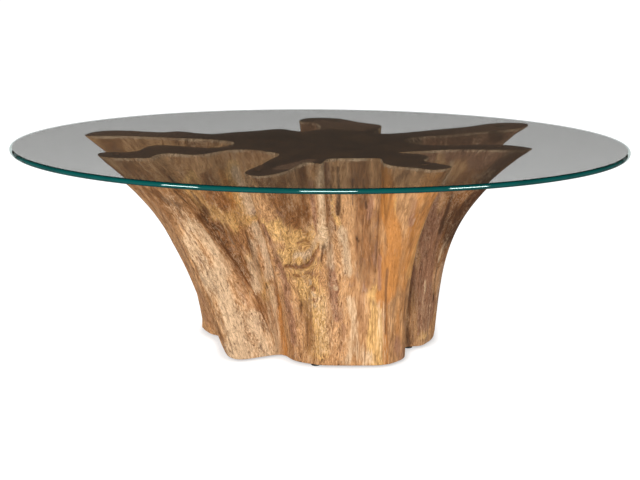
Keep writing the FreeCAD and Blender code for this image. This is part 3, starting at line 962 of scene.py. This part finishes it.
def root_wood_material(settings):
    """The cleaned root: tones of the marks, then fibres, stains, curls, and furrows and checks
    darkened with painted shade.
    """
    material, wires, shader = new_material("root_wood")
    times, plus, minus, ramp, blend = wires.times, wires.plus, wires.minus, wires.ramp, wires.blend
    group = fibre_noise_group()

    def read(name, output="Fac"):
        return wires.add("Attribute", attribute_name=name).outputs[output]

    grain, spread = read("grain", "Vector"), read("spread")

    def fibre(layer):
        names = ("Across", "Along", "Detail", "Shift", "Twist")
        values = {"Grain": grain, "Spread": spread, **dict(zip(names, layer))}
        return wires.add("Group", values, node_tree=group).outputs["Value"]

    def about(value, size):
        return times(minus(value, 0.5), size)

    def line(value, width):
        """Thin lines where a noise crosses its middle."""
        return ramp(wires.maths("ABSOLUTE", minus(value, 0.5)), width, 0.0)

    broad, patch = fibre(BROAD_TONES), fibre(PATCHES)
    gold, orange, brown, grey, pale, dark, even, rings, checks = (read(name) for name in (
        "gold", "orange", "brown", "grey", "pale", "dark", "even", "knot_rings", "checks"))
    lines = wires.between(even, fibre(CURLED_LINES), fibre(EVEN_LINES))
    fine = wires.between(even, fibre(CURLED_FIBRES), fibre(EVEN_FIBRES))
    flecks, stains, curls = fibre(FLECKS), fibre(STAINS), fibre(CURLS)
    torn = plus(about(patch, 1.3), about(lines, 1.0), about(fine, 0.8))
    soft = plus(about(patch, 0.8), about(lines, 0.4))
    grainy = plus(about(lines, 1.5), about(fine, 1.0), about(patch, 0.5))

    colour = blend(times(ramp(plus(broad, about(patch, 0.6)), 0.46, 0.70), 0.6),
                   settings.middle_tone, settings.brown_tone)
    for mark, tone, rough, low, high in (
            (gold, settings.gold_tone, torn, 0.14, 0.70),
            (orange, settings.orange_tone, soft, 0.10, 0.80),
            (brown, settings.brown_tone, torn, 0.10, 0.75),
            (grey, settings.grey_tone, torn, 0.14, 0.80),
            (pale, settings.pale_tone, grainy, 0.10, 0.90)):
        colour = blend(ramp(plus(mark, rough), low, high), colour, tone)
    stain = times(ramp(stains, 0.56, 0.70), minus(0.34, times(orange, 0.30)))
    colour = blend(stain, colour, settings.purple_tone)
    # Dark marks and low lines take the dark tone: dark fibre, and painted shade in the creases
    wave = plus(dark, about(lines, 1.2), about(patch, 0.6))
    colour = blend(times(ramp(wave, 0.20, 0.90), 0.90), colour, settings.dark_fibre_and_shade_tone)

    weight = plus(times(lines, 0.40), times(fine, 0.45), times(patch, 0.15))
    shade = blend(ramp(weight, 0.38, 0.62), FIBRE_DARK, FIBRE_LIGHT)
    calm = plus(times(pale, 0.4), times(orange, 0.46), times(even, 0.19))
    colour = blend(minus(1.0, calm), colour, shade, "MULTIPLY")
    torn_only = minus(1.0, times(even, 0.8))
    where = plus(patch, times(plus(gold, brown), 0.08), times(rings, -0.3))
    dark_curls = times(times(line(curls, 0.075), ramp(where, 0.44, 0.60)), torn_only)
    light_curls = times(times(line(flecks, 0.055), ramp(patch, 0.56, 0.40)), torn_only)
    specks = times(ramp(flecks, 0.59, 0.68), minus(0.65, times(even, 0.45)))
    for factor, tone in (
            (times(dark_curls, 0.45), settings.dark_fibre_and_shade_tone),
            (times(light_curls, 0.45), settings.pale_tone),
            (specks, settings.dark_fibre_and_shade_tone),
            # Checks darkened: painted shade in the cracks
            (times(checks, 0.6), settings.dark_fibre_and_shade_tone),
            (times(rings, 0.20), settings.brown_tone)):
        colour = blend(factor, colour, tone)

    height = plus(lines, times(fine, 0.6), times(dark_curls, -0.3),
                  times(ramp(flecks, 0.58, 0.70), -0.5))
    wires.put(shader, {"Base Color": colour, "Roughness": plus(times(flecks, 0.3), 0.45),
                       "Normal": wires.bump(height, 0.8, 0.0018), "Specular IOR Level": 0.12})
    return material


def sawn_wood_material(settings):
    """Dark stained end grain, with faint rings, worn patches and the marks of the saw."""
    material, wires, shader = new_material("sawn_wood")
    times, plus, ramp, blend, vectors = (
        wires.times, wires.plus, wires.ramp, wires.blend, wires.vectors)
    place = wires.add("NewGeometry").outputs["Position"]
    bent = wires.mottle(5.0, 3.0)[0]
    cloud, clouded = wires.mottle(16.0, 5.0)
    pores, pitted = wires.mottle(480.0, 2.0, 0.55, 0.70)

    def distance(stretch):
        return vectors("LENGTH", vectors("MULTIPLY", place, stretch), output="Value")

    colour = blend(clouded, settings.sawn_tone, settings.brown_tone)
    colour = blend(0.72, colour, settings.sawn_tone)
    out = plus(distance((1.0, 0.9, 0.0)), times(bent, 0.12))
    back = ramp(wires.add("SeparateXYZ", {0: place}).outputs["Y"], 0.02, 0.10)
    worn = times(ramp(out, 0.24, 0.50), wires.maths("MULTIPLY_ADD", back, 0.35, 0.15))
    colour = blend(worn, colour, settings.grey_tone)
    for x, y, turn, reach, breadth, strength in WORN_PATCHES:
        chip = wires.add("Mapping", {"Vector": place, "Location": (x, y, WOOD_HIGH.z),
                                     "Rotation": (0.0, 0.0, turn),
                                     "Scale": (reach, breadth, 1.0)}, vector_type="TEXTURE")
        chip = vectors("LENGTH", chip.outputs[0], output="Value")
        chip = plus(chip, times(wires.minus(cloud, 0.5), 1.6))
        colour = blend(times(ramp(chip, 1.05, 0.75), strength), colour, settings.grey_tone)
    rings = wires.maths("SINE", plus(times(distance((1.0, 1.6, 0.0)), 210.0), times(bent, 38.0)))
    rings = plus(times(rings, 0.5), 0.5)
    colour = blend(times(rings, 0.30), colour, settings.dark_fibre_and_shade_tone)
    colour = blend(times(pitted, 0.5), colour, settings.dark_fibre_and_shade_tone)
    marks = wires.mottle(1.0, 2.0, stretch=(60.0, 700.0, 1.0))[0]
    wires.put(shader, {"Base Color": colour, "Roughness": 0.62, "Specular IOR Level": 0.3,
                       "Normal": wires.bump(plus(marks, times(pores, 0.5)), 0.35, 0.0006)})
    return material


def sole_wood_material(settings):
    material, wires, shader = new_material("sole_wood")
    clouded = wires.mottle(22.0, 5.0)[1]
    pores = wires.mottle(420.0, 2.0)[0]
    colour = wires.blend(clouded, settings.middle_tone, settings.brown_tone)
    colour = wires.blend(wires.times(pores, 0.5), colour, settings.dark_fibre_and_shade_tone)
    wires.put(shader, {"Base Color": colour, "Roughness": 0.75,
                       "Normal": wires.bump(pores, 0.4, 0.0006)})
    return material


def let_lamps_through(wires, shader, tint):
    """Shadow rays pass the shader, so that lamps light what stands behind it."""
    path = wires.add("LightPath").outputs
    clear = wires.add("BsdfTransparent", {"Color": (*tint, 1.0)})
    ray = wires.maths("MAXIMUM", path["Is Shadow Ray"], path["Is Diffuse Ray"])
    wires.show(wires.over(ray, shader, clear))


def clear_glass_material(settings):
    material, wires, shader = new_material("clear_glass")
    smeared = wires.mottle(9.0, 3.0, 0.55, 0.80)[1]
    wires.put(shader, {"Base Color": (*settings.tint, 1.0), "IOR": 1.5,
                       "Roughness": wires.times(smeared, 0.012),
                       "Transmission Weight": 1.0, "Specular IOR Level": settings.sheen})
    let_lamps_through(wires, shader, settings.shade)
    return material


def glass_edge_material(settings):
    """The polished edge, which sends back the green of the whole sheet.

    It is clear from inside, and where it is seen at a slant, as at the oval's two ends.
    """
    material, wires, shader = new_material("glass_edge")
    geometry = wires.add("NewGeometry").outputs
    height = wires.add("SeparateXYZ", {0: geometry["Position"]}).outputs["Z"]
    level = wires.ramp(height, GLASS_LOW.z, GLASS_HIGH.z, "LINEAR")
    # The middle of the edge is painted lighter and its top and bottom rounds darker, in the deep
    # green: painted shade of the rounded edge.
    band = wires.maths("SINE", wires.times(level, math.pi))
    clouded = wires.mottle(14.0, 3.0, 0.40, 0.70)[1]
    deep = tuple(c * 0.35 for c in settings.edge_tone)
    colour = wires.blend(wires.ramp(band, 0.1, 0.9), deep, settings.edge_tone)
    colour = wires.blend(wires.times(clouded, 0.35), colour, deep)
    wires.put(shader, {"Base Color": colour, "Roughness": 0.05, "IOR": 1.5,
                       "Specular IOR Level": 0.5})
    clear = wires.add("BsdfTransparent", {"Color": (*CLEAR_EDGE, 1.0)})
    slant = wires.add("LayerWeight", {"Blend": 0.5}).outputs["Facing"]
    grazing = wires.times(wires.ramp(slant, 0.56, 0.80), 0.85)
    see_through = wires.maths("MAXIMUM", geometry["Backfacing"], grazing)
    wires.show(wires.over(see_through, shader, clear))
    return material


def bumper_material():
    material, wires, shader = new_material("clear_rubber")
    haze = wires.mottle(300.0, 2.0)[0]
    wires.put(shader, {"Base Color": (*CLEAR_RUBBER, 1.0), "IOR": 1.2, "Alpha": 0.25,
                       "Roughness": wires.plus(wires.times(haze, 0.2), 0.18),
                       "Transmission Weight": 1.0, "Specular IOR Level": 0.1})
    let_lamps_through(wires, shader, WHITE)
    return material


def nylon_material(settings):
    material, wires, shader = new_material("black_nylon")
    grit = wires.mottle(1400.0, 2.0)[0]
    worn = wires.mottle(120.0, 4.0, 0.50, 0.75)[1]
    colour = wires.blend(wires.times(worn, 0.35), settings.nylon_tone, WORN_NYLON)
    wires.put(shader, {"Base Color": colour, "Roughness": 0.5,
                       "Normal": wires.bump(grit, 0.3, 0.0001)})
    return material


def plated_material(name, tones, scale):
    material, wires, shader = new_material(name)
    cloud, clouded = wires.mottle(scale, 4.0)
    wires.put(shader, {"Base Color": wires.blend(clouded, *tones), "Metallic": 1.0,
                       "Roughness": wires.plus(wires.times(cloud, 0.3), 0.18),
                       "Normal": wires.bump(cloud, 0.15, 0.0002)})
    return material


def sight_rays(wires, turns=0.5):
    """Which rays show the stage straight, also through glass, and which show it mirrored.

    A world counts one ray more than a surface, so turns is one more there.
    """
    path = wires.add("LightPath").outputs
    turned = wires.minus(path["Ray Depth"], path["Transmission Depth"])
    straight = wires.maths("LESS_THAN", turned, turns)
    through = wires.times(path["Is Transmission Ray"], straight)
    seen = wires.maths("MAXIMUM", path["Is Camera Ray"], through)
    mirrored = wires.maths("MAXIMUM", path["Is Glossy Ray"],
                           wires.minus(path["Is Transmission Ray"], through))
    return seen, mirrored


def floor_material(settings):
    """White where it is seen, also through the glass, and clear from below.

    It sends back less light than it shows.
    """
    material, wires, shader = new_material("pale_floor")
    # The glow is dimmed by the ambient occlusion close to the foot: a painted contact shadow.
    open_air = wires.add("AmbientOcclusion", {"Distance": settings.contact_reach}).outputs["AO"]
    glow = wires.blend(wires.ramp(open_air, 0.45, 0.95), [0.60 * settings.floor_glow] * 3,
                       [settings.floor_glow] * 3)
    matt = {"Roughness": 0.9, "Specular IOR Level": 0.0}
    wires.put(shader, {**matt, "Base Color": (*FLOOR_TONE, 1.0), "Emission Color": glow,
                       "Emission Strength": 1.0})
    seen, mirrored = sight_rays(wires)
    shade = wires.blend(mirrored, [settings.floor_shade] * 3, [settings.mirrored_room] * 3)
    bounce = wires.add("BsdfPrincipled", {**matt, "Base Color": shade,
                                          "Emission Color": (*WHITE, 1.0),
                                          "Emission Strength": settings.up_light})
    below = wires.add("NewGeometry").outputs["Backfacing"]
    wires.show(wires.over(below, wires.over(seen, bounce, shader), wires.add("BsdfTransparent")))
    return material


def dress_nodes(names, material):
    for name in names:
        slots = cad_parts[name].data.materials
        if not slots:
            slots.append(material)
        for index in range(len(slots)):
            slots[index] = material


# Operators

class ROOTTABLE_OT_base(bpy.types.Operator):
    """Grow the root base with its flutes, grain, knots and sawn top"""
    bl_idname = "roottable.base"
    bl_label = "Root Base"

    def execute(self, context):
        settings = context.scene.root_base
        wood = build_root_base(settings)
        for finish in (root_wood_material, sawn_wood_material, sole_wood_material):
            wood.data.materials.append(finish(settings))
        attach(wood, "base")
        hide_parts("root_base")
        return {"FINISHED"}


class ROOTTABLE_OT_glass(bpy.types.Operator):
    """Lay the oval glass with its polished green edge"""
    bl_idname = "roottable.glass"
    bl_label = "Oval Glass"

    def execute(self, context):
        settings = context.scene.root_glass
        glass = build_glass(settings)
        for finish in (clear_glass_material, glass_edge_material):
            glass.data.materials.append(finish(settings))
        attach(glass, "glass")
        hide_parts("glass_top")
        return {"FINISHED"}


class ROOTTABLE_OT_bumpers(bpy.types.Operator):
    """Set the clear bumpers between the wood and the glass"""
    bl_idname = "roottable.bumpers"
    bl_label = "Bumpers"

    def execute(self, context):
        material = bumper_material()
        for name in BUMPERS:
            bumper = build_bumper(name, context.scene.root_fittings)
            bumper.data.materials.append(material)
            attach(bumper, "base")
            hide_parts("bumper_" + name)
        return {"FINISHED"}


class ROOTTABLE_OT_glides(bpy.types.Operator):
    """Finish the glides: nylon pads, threaded studs and plated inserts"""
    bl_idname = "roottable.glides"
    bl_label = "Glides"

    def execute(self, context):
        settings = context.scene.root_fittings
        steel = plated_material("plated_steel", STEEL_TONES, 260.0)
        zinc = plated_material("cast_zinc", ZINC_TONES, 420.0)
        dress_nodes(["glide_pad_" + name for name in GLIDES], nylon_material(settings))
        dress_nodes(["glide_insert_" + name for name in GLIDES], zinc)
        for name in GLIDES:
            stud = build_stud(name, settings)
            stud.data.materials.append(steel)
            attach(stud, "stud_" + name)
            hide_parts("glide_stud_" + name)
        return {"FINISHED"}


def area_lamp(name, place, target, size, power):
    data = bpy.data.lights.new(name, "AREA")
    data.shape = "RECTANGLE"
    data.size, data.size_y = size
    data.energy = power
    lamp = bpy.data.objects.new(name, data)
    lamp.location = place
    lamp.rotation_euler = (Vector(target) - Vector(place)).to_track_quat("-Z", "Y").to_euler()
    lamp.visible_transmission = False
    bpy.context.scene.collection.objects.link(lamp)
    return lamp


def set_room(scene, settings):
    """Even light from all round, dimmer and warmer where a surface mirrors it."""
    scene.world = bpy.data.worlds.new("soft_room")
    scene.world.use_nodes = True
    wires = Wiring(scene.world.node_tree)
    seen, mirrored = sight_rays(wires, 1.5)
    unseen = wires.between(mirrored, settings.room_light, settings.mirrored_room)
    wires.put(wires.tree.nodes["Background"], {
        "Color": wires.blend(mirrored, WHITE, settings.mirrored_tone),
        "Strength": wires.between(seen, unseen, settings.backdrop)})


def set_camera(scene, settings):
    """The photograph's viewing angle."""
    data = bpy.data.cameras.new("photo_camera")
    camera = bpy.data.objects.new("photo_camera", data)
    scene.collection.objects.link(camera)
    turn, distance = settings.camera_turn, settings.camera_distance
    camera.location = (distance * math.sin(turn), -distance * math.cos(turn),
                       settings.camera_height)
    camera.rotation_euler = (math.pi / 2 - settings.camera_dip, 0.0, turn - settings.camera_pan)
    data.lens, data.sensor_width = settings.lens, SENSOR_WIDTH
    scene.camera = camera


class ROOTTABLE_OT_stage(bpy.types.Operator):
    """Set the pale floor, the soft light and the camera"""
    bl_idname = "roottable.stage"
    bl_label = "Stage"

    def execute(self, context):
        settings = context.scene.root_stage
        half = settings.floor_size / 2
        corners = [(-half, -half, 0), (half, -half, 0), (half, half, 0), (-half, half, 0)]
        floor = new_mesh_object("pale_floor", corners, [(0, 1, 2, 3)], smooth=False)
        floor.data.materials.append(floor_material(settings))

        set_room(context.scene, settings)
        key = area_lamp("key_lamp", KEY_PLACE, KEY_TARGET, KEY_SIZE, settings.key_light)
        key.visible_glossy = False
        for name, place, width in EDGE_LAMPS:
            power = settings.edge_light * math.pi * width * EDGE_LAMP_HEIGHT
            lamp = area_lamp("edge_lamp_" + name, place, EDGE_LAMP_TARGET,
                             (width, EDGE_LAMP_HEIGHT), power)
            lamp.data.color = EDGE_LAMP_TONE
            lamp.visible_camera = False
            lamp.visible_diffuse = False
        set_camera(context.scene, settings)
        context.scene.view_settings.view_transform = "Standard"
        return {"FINISHED"}


class ROOTTABLE_PT_panel(bpy.types.Panel):
    bl_label = "Root Table"
    bl_idname = "ROOTTABLE_PT_panel"
    bl_space_type = "VIEW_3D"
    bl_region_type = "UI"
    bl_category = "Root Table"

    def draw(self, context):
        for operator, group in zip(OPERATORS, PANEL_GROUPS):
            box = self.layout.box()
            box.operator(operator.bl_idname)
            if group:
                settings = getattr(context.scene, group)
                for name in settings.bl_rna.properties.keys():
                    if name not in ("rna_type", "name"):
                        box.prop(settings, name)


SETTINGS = (("root_base", RootBaseSettings), ("root_glass", GlassSettings),
            ("root_fittings", FittingSettings), ("root_stage", StageSettings))
OPERATORS = (ROOTTABLE_OT_base, ROOTTABLE_OT_glass, ROOTTABLE_OT_bumpers, ROOTTABLE_OT_glides,
             ROOTTABLE_OT_stage)
# The settings under each operator's button
PANEL_GROUPS = ("root_base", "root_glass", "root_fittings", None, "root_stage")


def register():
    for name, group in SETTINGS:
        bpy.utils.register_class(group)
        setattr(bpy.types.Scene, name, PointerProperty(type=group))
    for shown in (*OPERATORS, ROOTTABLE_PT_panel):
        bpy.utils.register_class(shown)


def unregister():
    for shown in (ROOTTABLE_PT_panel, *reversed(OPERATORS)):
        bpy.utils.unregister_class(shown)
    for name, group in reversed(SETTINGS):
        delattr(bpy.types.Scene, name)
        bpy.utils.unregister_class(group)


def main():
    register()
    bpy.ops.roottable.base()
    bpy.ops.roottable.glass()
    bpy.ops.roottable.bumpers()
    bpy.ops.roottable.glides()
    bpy.ops.roottable.stage()


if __name__ == "__main__":
    main()
